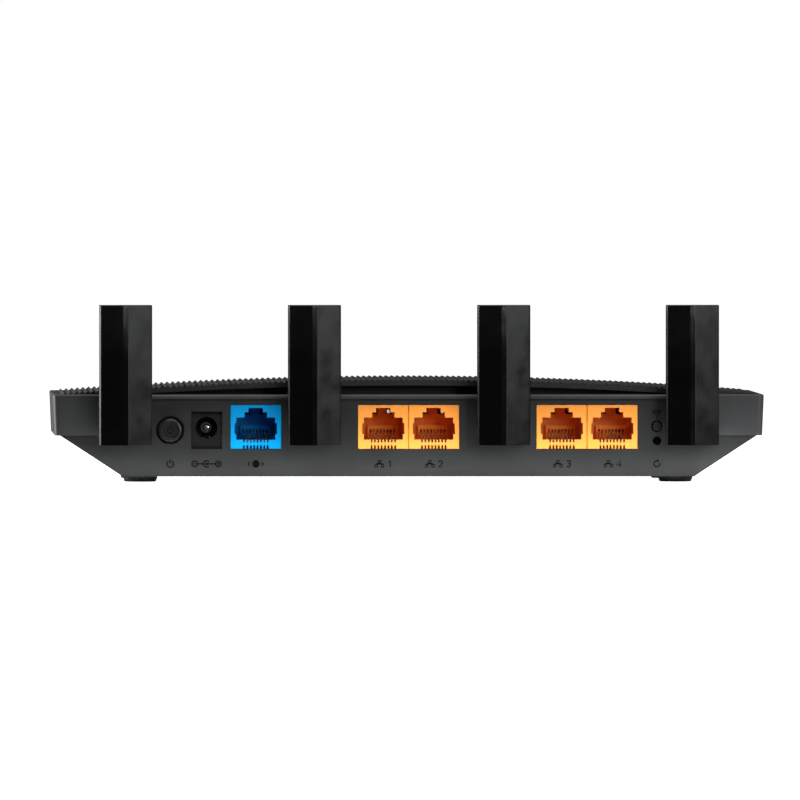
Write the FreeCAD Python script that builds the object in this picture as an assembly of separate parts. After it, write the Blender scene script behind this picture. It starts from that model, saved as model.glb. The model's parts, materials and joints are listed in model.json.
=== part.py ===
import FreeCAD, Part
import math
import os

# Desktop wireless router: a low case under a crowned, ribbed vent cover, with a rear port panel and four
# antennas that swivel and tilt. Every function makes one or more separate pieces, one STEP file a node.
#
# Frame, in millimetres: +X to the right as the port panel is faced, +Y towards the front, +Z up. The origin
# is on the desk, in the middle of the footprint of the whole object with its antennas upright.

V = FreeCAD.Vector

# ---- driving dimensions -------------------------------------------------------------------------------
WIDTH = 215.0  # case
DEPTH = 117.0  # over the upright antennas
HEIGHT = 31.1  # feet to rib tips
FOOT_H = 1.7
WALL = 2.0
CLEAR = 0.1  # all-round gap of a piece set into another

# heights
BASE_Z = FOOT_H  # underside of the case
SKIRT_Z = 14.1  # parting line of the two housings
LEDGE_Z = 25.1  # top of the port panel
RIM_Z = 26.5  # top of the upper housing
DECK_Z = 23.4  # underside of the upper housing's top wall
BOARD_TOP = 10.0
BOARD_T = 1.6

# plan
FRONT_Y = DEPTH / 2
ANTENNA_T = 8.0
ANTENNA_GAP = 1.0
REAR_Y = -DEPTH / 2 + ANTENNA_T + ANTENNA_GAP
PANEL_STEP = 1.5  # the port panel and the base stand back from the upper housing
PANEL_Y = REAR_Y + PANEL_STEP
PANEL_IN = PANEL_Y + WALL
HALF_W = WIDTH / 2
DRAFT = 0.5
INNER_W = HALF_W - DRAFT - WALL
INNER_FRONT = FRONT_Y - DRAFT - WALL
BASE_HALF_W = 86.5
BASE_FRONT_Y = 38.0
LIP_HALF_W = 105.4  # top edge of the base
LIP_FRONT_Y = 56.9
NOTCH_HALF_W = 91.4  # opening of the upper housing's rear wall
SLOPE = (LIP_HALF_W - BASE_HALF_W) / (SKIRT_Z - BASE_Z)

# ribbed cover
CROWN_R = 1326.0
RIB_PITCH = 1.72
RIB_H = 0.8
COVER_T = 1.1  # plate under the ribs
COVER_HALF_W = HALF_W - 2.1
COVER_REAR = REAR_Y + 0.9
COVER_FRONT = FRONT_Y - 0.9
COVER_LOW = HEIGHT - RIB_H - COVER_T  # underside of the plate in the middle
STIFFENERS_Y = (-40.0, 7.5, 52.0)
POSTS = [(x, y) for x in (-88.0, 0.0, 88.0) for y in (-15.5, 30.5)]
POST_R = 1.5

# vent deck, which fills an opening of the upper housing
DECK_HALF_W, DECK_REAR, DECK_FRONT = 76.0, -38.0, 50.0
DECK_SHELF = 1.5  # width of the shelf that the deck's rim lies on
SHELF_Z = 25.5

# port panel, seen from behind: x and z of each opening's centre
BUTTON_X, BUTTON_Z = -72.1, 15.7
BUTTON_R, BUTTON_HOLE_R = 3.55, 4.25
DC_X, DC_Z = -61.1, 16.4
DC_W, DC_TOP = 9.0, BOARD_TOP + 11.15
DC_OPENING_W, DC_OPENING_TOP = 9.2, BOARD_TOP + 11.3
JACK_H = 13.25
JACK_W = 15.25
PORT_PITCH = 15.25
WAN_X = -46.2
LAN_A_X = 0.0
LAN_B_X = 54.0
JACK_FACE = PANEL_Y + 0.15
JACK_DEPTH = 18.0
SMALL_X = 75.15
WPS_Z, WPS_R, WPS_HOLE_R = 16.85, 1.32, 1.75
RESET_Z, RESET_HOLE_R = 12.4, 1.3

# antennas
ANTENNA_X = (-85.65, -28.6, 28.6, 85.65)
ANTENNA_W = 16.0
ANTENNA_FOOT_Z = 11.24
ANTENNA_TOP_Z = 53.6
HINGE_Y = -DEPTH / 2 + ANTENNA_T / 2
HINGE_Z = 16.0
BLADE_IN = -DEPTH / 2 + ANTENNA_T  # blade face turned to the case
RIDGE_HALF_W, RIDGE_R = 0.8, 0.7
FACET_SLOPE = math.tan(math.radians(20.0))
BLADE_WALL, LID_T = 1.5, 1.4
CAVITY_HALF_W = 6.2
CAVITY_LOW, CAVITY_TOP = HINGE_Z + 5.5, ANTENNA_TOP_Z - 1.4
TONGUE_HALF_W, TONGUE_R = 2.0, 2.3
PIN_R = 0.9
STUB_R = 4.0
FLANGE_R = 4.7
RUNNING = 0.05  # radial clearance of a turning fit
CABLE_R = 0.57

# fasteners and feet
CASE_SCREWS = [(sx * 82.5, y) for sx in (-1, 1) for y in (-20.0, 14.0)]
BOARD_SCREWS = [(sx * 72.0, y) for sx in (-1, 1) for y in (0.0, 37.0)]
FEET = [(sx * 81.06, y) for sx in (-1, 1) for y in (-38.0, 28.0)]
FOOT_TOP_R, FOOT_LOW_R, FOOT_SUNK = 5.35, 4.75, 0.4
KEYHOLES = [(-50.0, -10.0), (50.0, -10.0)]
KEYHOLE_R, KEYHOLE_SLOT_R, KEYHOLE_RUN = 3.8, 1.9, 7.0
LABEL_W, LABEL_D, LABEL_Y, LABEL_T = 64.0, 26.0, 14.0, 0.12

# board
BOARD_HALF_W = 77.0
BOARD_REAR = PANEL_IN + 0.3
BOARD_FRONT = 43.0
LED_X = [-20.0 + 8.0 * i for i in range(6)]
LED_Y = 40.5
LED_Z = 20.0  # height of the indicator windows
BIG = 400.0


# ---- shapes -------------------------------------------------------------------------------------------
def box(x0, x1, y0, y1, z0, z1):
    return Part.makeBox(x1 - x0, y1 - y0, z1 - z0, V(x0, y0, z0))


def between(xa, xb, y0, y1, z0, z1):
    """A box whose two x limits may come in either order."""
    return box(min(xa, xb), max(xa, xb), y0, y1, z0, z1)


def block(x, y, z0, width, depth, height):
    """A box centred on x, y that stands on z0."""
    return box(x - width / 2, x + width / 2, y - depth / 2, y + depth / 2, z0, z0 + height)


def rod_x(r, x0, x1, y, z):
    return Part.makeCylinder(r, x1 - x0, V(x0, y, z), V(1, 0, 0))


def rod_y(r, y0, y1, x, z):
    return Part.makeCylinder(r, y1 - y0, V(x, y0, z), V(0, 1, 0))


def rod_z(r, z0, z1, x, y):
    return Part.makeCylinder(r, z1 - z0, V(x, y, z0), V(0, 0, 1))


def prism(points, along):
    """The closed polygon through points, extruded by the vector along."""
    wire = Part.makePolygon([V(*p) for p in points] + [V(*points[0])])
    return Part.Face(wire).extrude(V(*along))


def prism_yz(points, x0, x1):
    """A polygon of (y, z) points, extruded from x0 to x1."""
    return prism([(x0, y, z) for y, z in points], (x1 - x0, 0, 0))


def fuse(shapes):
    shapes = list(shapes)
    return shapes[0].fuse(shapes[1:]).removeSplitter() if len(shapes) > 1 else shapes[0]


def edges_where(shape, test):
    return [e for e in shape.Edges if test(e)]


def is_upright(edge):
    """True for an edge that runs within a few degrees of vertical."""
    a, b = edge.Vertexes[0].Point, edge.Vertexes[-1].Point
    return abs(b.z - a.z) > 0.99 * (b - a).Length > 0.5


def lies_at_y(edge, y):
    return all(abs(v.Y - y) < 1e-4 for v in edge.Vertexes)


def lies_at_z(edge, z):
    return all(abs(v.Z - z) < 1e-4 for v in edge.Vertexes)


def crown_drop(x):
    return CROWN_R - math.sqrt(CROWN_R**2 - x * x)


def cross_recess(x, y, z0, z1, size):
    """The cross-shaped driver recess of a screw head."""
    long, short = size, size * 0.28
    return box(x - long, x + long, y - short, y + short, z0, z1).fuse(
        box(x - short, x + short, y - long, y + long, z0, z1)
    )


# ---- lower housing ------------------------------------------------------------------------------------
def tray(inset):
    """The base's tapered form, with its floor, sides and front moved in by inset.

    Inset forms run on past the rear.
    """
    side = inset * math.sqrt(1 + SLOPE**2)
    floor_z = BASE_Z + inset
    top_w, top_y = LIP_HALF_W - side, LIP_FRONT_Y - side
    run = SLOPE * (SKIRT_Z - floor_z)
    top_z = SKIRT_Z if inset == 0 else SKIRT_Z + 2.0
    over = SLOPE * (top_z - SKIRT_Z)
    across = prism(
        [
            (-top_w + run, -BIG, floor_z),
            (top_w - run, -BIG, floor_z),
            (top_w + over, -BIG, top_z),
            (-top_w - over, -BIG, top_z),
        ],
        (0, 2 * BIG, 0),
    )
    rear = PANEL_IN - (1.0 if inset else 0.0)
    along = prism_yz(
        [(rear, floor_z), (top_y - run, floor_z), (top_y + over, top_z), (rear, top_z)], -BIG, BIG
    )
    return across.common(along)


def locating_lip():
    """The low wall on the base's edge that the upper housing drops over."""
    outer_w, outer_y, t = INNER_W - CLEAR, INNER_FRONT - CLEAR, 1.2
    ring = box(-outer_w, outer_w, PANEL_IN, outer_y, SKIRT_Z, SKIRT_Z + 1.5)
    return ring.cut(box(-outer_w + t, outer_w - t, PANEL_IN - 1, outer_y - t, SKIRT_Z - 1, SKIRT_Z + 3))


def jack_opening(x, width):
    return box(
        x - width / 2 - CLEAR, x + width / 2 + CLEAR, PANEL_Y - 1, PANEL_IN + 1,
        BOARD_TOP - CLEAR, BOARD_TOP + JACK_H + CLEAR,
    )  # fmt: skip


def panel_openings():
    cuts = [rod_y(STUB_R + RUNNING, PANEL_Y - 1, PANEL_IN + 1, x, HINGE_Z) for x in ANTENNA_X]
    cuts.append(rod_y(BUTTON_HOLE_R, PANEL_Y - 1, PANEL_IN + 1, BUTTON_X, BUTTON_Z))
    cuts.append(
        box(
            DC_X - DC_OPENING_W / 2, DC_X + DC_OPENING_W / 2, PANEL_Y - 1, PANEL_IN + 1,
            BOARD_TOP, DC_OPENING_TOP,
        )  # fmt: skip
    )
    cuts += [jack_opening(WAN_X, JACK_W), jack_opening(LAN_A_X, 2 * PORT_PITCH)]
    cuts.append(jack_opening(LAN_B_X, 2 * PORT_PITCH))
    cuts.append(rod_y(WPS_HOLE_R, PANEL_Y - 1, PANEL_IN + 1, SMALL_X, WPS_Z))
    cuts.append(rod_y(RESET_HOLE_R, PANEL_Y - 1, PANEL_IN + 1, SMALL_X, RESET_Z))
    return cuts


def keyhole(x, y):
    z0, z1 = BASE_Z - 1, BASE_Z + WALL + 1
    entry = rod_z(KEYHOLE_R, z0, z1, x, y)
    slot = box(x - KEYHOLE_SLOT_R, x + KEYHOLE_SLOT_R, y, y + KEYHOLE_RUN, z0, z1)
    end = rod_z(KEYHOLE_SLOT_R, z0, z1, x, y + KEYHOLE_RUN)
    return fuse([entry, slot, end])


def floor_vents():
    """Two rows of cooling slots in the floor."""
    width, first, pitch, count = 1.8, -62.5, 5.0, 26
    rows = ((-41.0, -27.0), (30.0, 35.5))
    slots = []
    for y0, y1 in rows:
        for i in range(count):
            x = first + pitch * i
            slots.append(box(x - width / 2, x + width / 2, y0, y1, BASE_Z - 1, BASE_Z + WALL + 1))
    return slots


def lower_housing():
    """The tapered tray, open at the back, where the rear panel closes it."""
    solids = [tray(0).cut(tray(WALL)), locating_lip()]
    cuts = floor_vents()
    for x, y in CASE_SCREWS:
        solids.append(rod_z(4.5, BASE_Z + 1, 9.0, x, y).common(tray(0)))
        cuts.append(rod_z(1.6, BASE_Z - 1, 10.0, x, y))
        cuts.append(rod_z(3.0, BASE_Z - 1, BASE_Z + 2.7, x, y))
    for x, y in BOARD_SCREWS:
        solids.append(rod_z(2.8, BASE_Z + 1, BOARD_TOP - BOARD_T, x, y))
        cuts.append(rod_z(1.0, BASE_Z + WALL, BOARD_TOP, x, y))
    cuts += [rod_z(FOOT_TOP_R + 0.05, BASE_Z - 1, BASE_Z + FOOT_SUNK, x, y) for x, y in FEET]
    cuts += [keyhole(x, y) for x, y in KEYHOLES]
    cuts.append(block(0, LABEL_Y, BASE_Z - 1, LABEL_W + 0.4, LABEL_D + 0.4, 1 + LABEL_T + 0.03))
    return fuse(solids).cut(cuts)


def rear_panel():
    """The plate that closes the back and carries the ports, with an edge that follows the base's taper."""
    shoulder, top = NOTCH_HALF_W - 0.2, LEDGE_Z - CLEAR
    half = [(BASE_HALF_W, BASE_Z), (LIP_HALF_W, SKIRT_Z), (shoulder, SKIRT_Z), (shoulder, top)]
    outline = half + [(-x, z) for x, z in reversed(half)]
    plate = prism([(x, PANEL_Y, z) for x, z in outline], (0, WALL - 0.02, 0)).cut(panel_openings())
    return plate.makeChamfer(0.3, edges_where(plate, frames_power_jack))


def frames_power_jack(edge):
    """True for the outer side and bottom edges of the power jack's opening."""
    at_sides = all(abs(abs(v.X - DC_X) - DC_OPENING_W / 2) < 1e-4 for v in edge.Vertexes)
    return lies_at_y(edge, PANEL_Y) and at_sides and not lies_at_z(edge, DC_OPENING_TOP)


# ---- upper housing ------------------------------------------------------------------------------------
def housing_block():
    """The upper housing's outer form: slightly drafted walls and rounded upright corners."""
    low, top = HALF_W - DRAFT, HALF_W
    across = prism(
        [(-low, -BIG, SKIRT_Z), (low, -BIG, SKIRT_Z), (top, -BIG, RIM_Z), (-top, -BIG, RIM_Z)],
        (0, 2 * BIG, 0),
    )
    along = prism_yz(
        [(REAR_Y, SKIRT_Z), (FRONT_Y - DRAFT, SKIRT_Z), (FRONT_Y, RIM_Z), (REAR_Y, RIM_Z)], -BIG, BIG
    )
    body = across.common(along)
    rounded = body.makeFillet(1.6, edges_where(body, is_upright))
    return rounded.makeChamfer(0.35, edges_where(rounded, lambda e: lies_at_z(e, RIM_Z)))


def cover_seat():
    """The space above the deck that the crowned cover fills, a hair wider and lower than the cover."""
    w = COVER_HALF_W + 0.15
    low = COVER_LOW - 0.05
    y0, y1 = COVER_REAR - CLEAR, COVER_FRONT + CLEAR
    left, right = V(-w, y0, low - crown_drop(w)), V(w, y0, low - crown_drop(w))
    arch = Part.Arc(left, V(0, y0, low), right)
    top = Part.makePolygon([right, V(w, y0, HEIGHT + 5), V(-w, y0, HEIGHT + 5), left])
    face = Part.Face(Part.Wire([arch.toShape()] + top.Edges))
    return face.extrude(V(0, y1 - y0, 0))


def ledge_profile_cut():
    """Bevel and shadow groove along the ledge over the port panel."""
    bevel, groove_z, groove = 0.75, LEDGE_Z + 0.7, 0.16
    wedge = prism_yz(
        [(REAR_Y - 1, RIM_Z - bevel - 1), (REAR_Y - 1, RIM_Z + 1), (REAR_Y + bevel + 1, RIM_Z + 1)],
        -NOTCH_HALF_W, NOTCH_HALF_W,
    )  # fmt: skip
    line = box(-NOTCH_HALF_W, NOTCH_HALF_W, REAR_Y - 1, REAR_Y + groove, groove_z, groove_z + groove)
    return wedge.fuse(line)


def deck_windows():
    """A grid of air windows in the vent deck, with bars between them."""
    columns, rows = 7, 4
    width, depth = 17.0, 17.0
    pitch_x, pitch_y = 20.5, 20.5
    centre_y = (DECK_REAR + DECK_FRONT) / 2
    windows = []
    for i in range(columns):
        for j in range(rows):
            x = (i - (columns - 1) / 2) * pitch_x
            y = centre_y + (j - (rows - 1) / 2) * pitch_y
            windows.append(block(x, y, DECK_Z, width, depth, 5.0))
    return windows


def post_sockets():
    """Holes for the posts of the cover."""
    return [rod_z(POST_R + CLEAR, DECK_Z - 2, RIM_Z + 1, x, y) for x, y in POSTS]


def vent_deck():
    """A flat grille under the cover, with a rim that lies on the upper housing's shelf."""
    w, y0, y1 = DECK_HALF_W - CLEAR, DECK_REAR + CLEAR, DECK_FRONT - CLEAR
    step = DECK_SHELF
    rim = box(-w, w, y0, y1, SHELF_Z + 0.02, RIM_Z - 0.05)
    core = box(-w + step, w - step, y0 + step, y1 - step, LEDGE_Z - 0.4, SHELF_Z + 0.1)
    return rim.fuse(core).cut(deck_windows() + post_sockets())


def upper_housing():
    cavity = box(-INNER_W, INNER_W, REAR_Y + WALL, INNER_FRONT, SKIRT_Z - 1, DECK_Z)
    pocket = box(-80.0, 80.0, PANEL_IN + CLEAR, INNER_FRONT, DECK_Z - 1, LEDGE_Z - 0.4)
    well = box(-DECK_HALF_W, DECK_HALF_W, DECK_REAR, DECK_FRONT, SHELF_Z, RIM_Z + 1)
    hole = box(
        -DECK_HALF_W + DECK_SHELF, DECK_HALF_W - DECK_SHELF, DECK_REAR + DECK_SHELF, DECK_FRONT - DECK_SHELF,
        DECK_Z - 1, RIM_Z + 1,
    )  # fmt: skip
    notch = box(-NOTCH_HALF_W, NOTCH_HALF_W, REAR_Y - 1, PANEL_IN + CLEAR, SKIRT_Z - 1, LEDGE_Z)
    body = housing_block().cut([cavity, pocket, well, hole, notch, cover_seat(), ledge_profile_cut()])
    slots = [box(x - 1.6, x + 1.6, FRONT_Y - 5, FRONT_Y + 1, LED_Z - 0.5, LED_Z + 0.5) for x in LED_X]
    bosses = [rod_z(3.2, 9.0, DECK_Z + 0.5, x, y) for x, y in CASE_SCREWS]
    pilots = [rod_z(1.3, 8.0, 20.0, x, y) for x, y in CASE_SCREWS]
    return fuse([body] + bosses).cut(slots + pilots + post_sockets())


# ---- ribbed cover -------------------------------------------------------------------------------------
def cover_profile():
    """The cover's cross-section: an arched plate with a row of triangular ribs on top."""
    w, y = COVER_HALF_W, COVER_REAR
    count = int(2 * (w - 0.4) // RIB_PITCH)
    first = -count * RIB_PITCH / 2
    outline = [V(-w, y, HEIGHT - RIB_H - crown_drop(w))]
    for i in range(count + 1):
        x = first + i * RIB_PITCH
        outline.append(V(x, y, HEIGHT - RIB_H - crown_drop(x)))
        if i < count:
            tip = x + RIB_PITCH / 2
            outline.append(V(tip, y, HEIGHT - crown_drop(tip)))
    outline.append(V(w, y, HEIGHT - RIB_H - crown_drop(w)))
    end = COVER_LOW - crown_drop(w)
    sides = [
        Part.makeLine(outline[-1], V(w, y, end)),
        Part.Arc(V(w, y, end), V(0, y, COVER_LOW), V(-w, y, end)).toShape(),
        Part.makeLine(V(-w, y, end), outline[0]),
    ]
    return Part.Face(Part.Wire(Part.makePolygon(outline).Edges + sides))


def cover_vents():
    """Slots in every second groove, in bands whose ends step back from the middle like a chevron."""
    width, length, band, lean = 0.9, 12.5, 17.0, 0.12
    reach = 47
    cuts = []
    for i in range(-reach, reach + 1, 2):
        x = i * RIB_PITCH
        for k in range(5):
            y0 = -38.0 + band * k + lean * (80.0 - abs(x))
            cuts.append(box(x - width / 2, x + width / 2, y0, y0 + length, RIM_Z - 3, HEIGHT + 1))
    return cuts


def cover_stiffeners():
    """Walls across the underside of the crown, which stand on the deck."""
    w, thick = 80.0, 1.2
    walls = []
    for y in STIFFENERS_Y:
        end = COVER_LOW - crown_drop(w) + 0.3
        arch = Part.Arc(V(-w, y, end), V(0, y, COVER_LOW + 0.3), V(w, y, end)).toShape()
        foot = Part.makePolygon([V(w, y, end), V(w, y, RIM_Z), V(-w, y, RIM_Z), V(-w, y, end)])
        walls.append(Part.Face(Part.Wire([arch] + foot.Edges)).extrude(V(0, thick, 0)))
    return walls


def cover_posts():
    """Round posts under the cover that snap into the deck."""
    return [rod_z(POST_R, LEDGE_Z - 1.5, COVER_LOW - crown_drop(x) + 0.6, x, y) for x, y in POSTS]


def top_cover():
    plate = cover_profile().extrude(V(0, COVER_FRONT - COVER_REAR, 0)).cut(cover_vents())
    return plate.fuse(cover_stiffeners() + cover_posts())


# ---- jacks --------------------------------------------------------------------------------------------
CONTACT_PITCH = 1.02
CONTACT_W, CONTACT_T = 0.44, 0.34
SLOT_W = 0.6
SEAM_W = 0.36  # groove in the face between two sockets
PLUG_REACH = 11.5  # depth to which a plug's body goes in
CARRIER_Y = JACK_FACE + PLUG_REACH  # the block that holds the contacts' rear ends
CARRIER_Z = BOARD_TOP + 7.0


def contact_x(x, i):
    return x + (i - 3.5) * CONTACT_PITCH


def socket_cuts(x):
    """Cuts of a socket centred on x: the plug's cavity, the channels beside its latch, and the contact slots.

    At the face, each contact slot is bridged half-way up, between two pointed ends.
    """
    y0, y1 = JACK_FACE - 1, JACK_FACE + 13.0
    z = BOARD_TOP
    steps = (
        (5.9, 2.8, 4.5),
        (6.4, 4.45, 7.8),
        (5.9, 7.75, 9.5),
        (3.42, 9.45, 11.1),
        (2.2, 11.05, 12.4),
    )
    cavity = [box(x - w, x + w, y0, y1, z + low, z + high) for w, low, high in steps]
    carrier = box(x - 4.5, x + 4.5, CARRIER_Y, y1 + 1, z + 2.9, CARRIER_Z)
    cavity = fuse(cavity).cut(carrier)
    back = JACK_FACE + JACK_DEPTH + 1
    channels = []
    for side in (-1, 1):
        channels.append(between(x + side * 1.46, x + side * 2.2, y0, back, z + 10.35, z + 12.4))
        channels.append(between(x + side * 2.1, x + side * 3.42, y0, back, z + 10.35, z + 11.1))
    slots = []
    for i in range(8):
        cx = contact_x(x, i)
        a, b = cx - SLOT_W / 2, cx + SLOT_W / 2
        low = [(a, z - 1), (b, z - 1), (b, z + 0.9), (cx, z + 1.35), (a, z + 0.9)]
        high = [(cx, z + 1.75), (b, z + 2.2), (b, z + 3.1), (a, z + 3.1), (a, z + 2.2)]
        slots += [prism([(px, y0, pz) for px, pz in ends], (0, 1.6, 0)) for ends in (low, high)]
        slots.append(box(a, b, JACK_FACE + 0.55, JACK_FACE + 2.4, z - 1, z + 3.1))
        slots.append(box(a, b, JACK_FACE + 2.3, CARRIER_Y + 1.6, z + 1.6, z + 3.1))
        slots.append(box(a, b, CARRIER_Y - 0.1, CARRIER_Y + 1.6, z - 1, z + 5.9))
    return [cavity] + channels + slots


def jack_housing(x, ports):
    """A moulded socket block with one or two sockets side by side."""
    width = JACK_W if ports == 1 else 2 * PORT_PITCH
    body = block(x, JACK_FACE + JACK_DEPTH / 2, BOARD_TOP, width, JACK_DEPTH, JACK_H)
    cuts = []
    for px in port_centres(x, ports):
        cuts += socket_cuts(px)
    if ports == 2:
        cuts.append(box(x - SEAM_W / 2, x + SEAM_W / 2, JACK_FACE - 1, JACK_FACE + 0.5, 0, BIG))
    return body.cut(cuts)


def port_centres(x, ports):
    return [x] if ports == 1 else [x - PORT_PITCH / 2, x + PORT_PITCH / 2]


def spring_contact(x):
    """One bent contact wire: a lip at the face, a ramp up into the carrier, and a tail down to the board."""
    z = BOARD_TOP
    y0, y1 = JACK_FACE + 0.9, CARRIER_Y + 1.3
    low, high = z + 2.75, z + 5.5
    t = CONTACT_T
    points = [
        (y0, z + 1.5),
        (y0 + t, z + 1.5),
        (y0 + t, low - t),
        (JACK_FACE + 2.6, low - t),
        (y1 - t, high - t),
        (y1 - t, z + 0.02),
        (y1, z + 0.02),
        (y1, high),
        (y1 - t, high),
        (JACK_FACE + 2.6, low),
        (y0, low),
    ]
    return prism_yz(points, x - CONTACT_W / 2, x + CONTACT_W / 2)


def jack_contacts(x, ports):
    wires = [spring_contact(contact_x(px, i)) for px in port_centres(x, ports) for i in range(8)]
    return Part.makeCompound(wires)


DC_FACE = PANEL_Y + 0.8
DC_BORE_R, DC_BORE_D = 3.3, 10.0
DC_PIN_R = 1.05


def dc_jack_housing():
    body = box(DC_X - DC_W / 2, DC_X + DC_W / 2, DC_FACE, DC_FACE + 14.0, BOARD_TOP, DC_TOP)
    bore = rod_y(DC_BORE_R, DC_FACE - 1, DC_FACE + DC_BORE_D, DC_X, DC_Z)
    leaf = box(DC_X - 1.3, DC_X + 1.3, DC_FACE + 1.5, DC_FACE + 9.5, BOARD_TOP - 1, DC_Z - 2.5)
    rivet = rod_y(1.7, DC_FACE + 9, DC_FACE + 15, DC_X, DC_Z)
    brow = box(DC_X - DC_W, DC_X + DC_W, DC_FACE - 1, DC_FACE + 0.6, DC_TOP - 0.95, DC_TOP + 1)
    return body.cut([bore, leaf, rivet, brow])


def dc_jack_pin():
    """Centre pin with a domed tip, riveted into the back of the jack."""
    tip, tail = DC_FACE + 1.6, DC_FACE + 14.2
    pin = rod_y(DC_PIN_R, tip, tail, DC_X, DC_Z)
    rim = edges_where(pin, lambda e: lies_at_y(e, tip) and e.Length > DC_PIN_R)
    collar = rod_y(1.6, DC_FACE + 9.6, tail, DC_X, DC_Z)
    return pin.makeFillet(0.6, rim[:1]).fuse(collar)


def dc_jack_spring():
    """Leaf contact that presses on the plug's sleeve from below."""
    y0, y1 = DC_FACE + 2.0, DC_FACE + 9.2
    low = DC_Z - DC_BORE_R
    points = [
        (y0, low - 1.2), (y0 + 0.3, low - 1.2), (y0 + 0.3, low - 0.35), (y0 + 3.5, low + 0.35),
        (y1 - 0.3, low - 0.6), (y1 - 0.3, BOARD_TOP + 0.02), (y1, BOARD_TOP + 0.02), (y1, low - 0.3),
        (y0 + 3.5, low + 0.65), (y0, low - 0.1),
    ]  # fmt: skip
    return prism_yz(points, DC_X - 1.1, DC_X + 1.1)


# ---- buttons and switches -----------------------------------------------------------------------------
BUTTON_OUT = 2.0  # how far the power button stands out of the panel, and its travel
SWITCH_Y = PANEL_IN + 5.5


def power_button_cap():
    """Round cap with a raised rim, a dished middle and a flange that stops it inside the panel."""
    face = PANEL_Y - BUTTON_OUT
    cap = rod_y(BUTTON_R, face, PANEL_IN + 0.6, BUTTON_X, BUTTON_Z)
    cap = cap.makeFillet(0.7, edges_where(cap, lambda e: lies_at_y(e, face))[:1])
    dish = Part.makeCone(2.6, 2.3, 0.35, V(BUTTON_X, face, BUTTON_Z), V(0, 1, 0))
    flange = rod_y(BUTTON_HOLE_R + 0.5, PANEL_IN + 0.1, PANEL_IN + 1.1, BUTTON_X, BUTTON_Z)
    return cap.cut(dish).fuse(flange)


def power_switch_stem():
    return box(BUTTON_X - 1, BUTTON_X + 1, PANEL_IN + 1.1, SWITCH_Y + 2.5, BUTTON_Z - 1, BUTTON_Z + 1)


def power_switch_body():
    body = box(BUTTON_X - 3.9, BUTTON_X + 3.9, SWITCH_Y, SWITCH_Y + 9.0, BOARD_TOP, BUTTON_Z + 3.7)
    hole = box(BUTTON_X - 1.1, BUTTON_X + 1.1, SWITCH_Y - 1, SWITCH_Y + 5.0, BUTTON_Z - 1.1, BUTTON_Z + 1.1)
    return body.cut(hole)


WPS_SWITCH_Y = PANEL_IN + 6.6
RESET_SWITCH_Y = PANEL_IN + 2.6


def wps_button_cap():
    face = PANEL_Y - 0.3
    cap = rod_y(WPS_R, face, PANEL_IN + 0.4, SMALL_X, WPS_Z)
    cap = cap.makeFillet(0.25, edges_where(cap, lambda e: lies_at_y(e, face))[:1])
    flange = rod_y(WPS_HOLE_R + 0.5, PANEL_IN + 0.1, PANEL_IN + 0.7, SMALL_X, WPS_Z)
    stem = rod_y(0.8, PANEL_IN + 0.5, WPS_SWITCH_Y - 1.2, SMALL_X, WPS_Z)
    return fuse([cap, flange, stem])


def wps_switch_plunger():
    return rod_y(1.2, WPS_SWITCH_Y - 1.2, WPS_SWITCH_Y + 0.4, SMALL_X, WPS_Z)


def wps_switch_body():
    """Tall right-angle switch: a square case held up by a bracket."""
    case = box(SMALL_X - 3, SMALL_X + 1.8, WPS_SWITCH_Y, WPS_SWITCH_Y + 3.4, WPS_Z - 3, WPS_Z + 3)
    bracket = box(SMALL_X - 3, SMALL_X + 1.8, WPS_SWITCH_Y + 2.6, WPS_SWITCH_Y + 3.4, BOARD_TOP, WPS_Z - 2)
    return case.fuse(bracket).cut(rod_y(1.3, WPS_SWITCH_Y - 1, WPS_SWITCH_Y + 1.2, SMALL_X, WPS_Z))


def reset_switch_plunger():
    return rod_y(0.9, RESET_SWITCH_Y - 1.2, RESET_SWITCH_Y + 0.4, SMALL_X, RESET_Z)


def reset_switch_body():
    body = box(SMALL_X - 3, SMALL_X + 1.8, RESET_SWITCH_Y, RESET_SWITCH_Y + 3.2, BOARD_TOP, BOARD_TOP + 4.4)
    return body.cut(rod_y(1.0, RESET_SWITCH_Y - 1, RESET_SWITCH_Y + 1.2, SMALL_X, RESET_Z))


# ---- antennas -----------------------------------------------------------------------------------------
def blade_form(x):
    """The antenna's form: two outer facets that meet in a narrow ridge, and a flat inner face."""
    outer = -DEPTH / 2
    w, bevel = ANTENNA_W / 2, 0.5
    facet_y = outer + (w - bevel - RIDGE_HALF_W) * FACET_SLOPE
    half = [
        (RIDGE_HALF_W, outer),
        (w - bevel, facet_y),
        (w, facet_y + bevel),
        (w, BLADE_IN - 0.8),
        (w - 0.8, BLADE_IN),
    ]
    ring = half + [(-a, b) for a, b in reversed(half)]
    points = [(x + a, b, ANTENNA_FOOT_Z) for a, b in ring]
    return prism(points, (0, 0, ANTENNA_TOP_Z - ANTENNA_FOOT_Z))


def blade_cavity(x):
    """The hollow over the hinge, open to the inner face."""
    outer = -DEPTH / 2 + BLADE_WALL
    w = CAVITY_HALF_W
    plan = [
        (x - w, BLADE_IN + 1),
        (x - w, outer + w * FACET_SLOPE),
        (x, outer),
        (x + w, outer + w * FACET_SLOPE),
        (x + w, BLADE_IN + 1),
    ]
    return prism([(a, b, CAVITY_LOW) for a, b in plan], (0, 0, CAVITY_TOP - CAVITY_LOW))


def hinge_slot(x):
    """Room for the swivel base's tongue at every tilt, open to the inner face and to the foot."""
    w, r = TONGUE_HALF_W + 0.15, TONGUE_R + 0.15
    low = ANTENNA_FOOT_Z - 1
    return fuse([
        box(x - w, x + w, HINGE_Y, BLADE_IN + 1, low, HINGE_Z + r),
        box(x - w, x + w, HINGE_Y - r, HINGE_Y + 0.01, low, HINGE_Z),
        rod_x(r, x - w, x + w, HINGE_Y, HINGE_Z),
    ])  # fmt: skip


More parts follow.
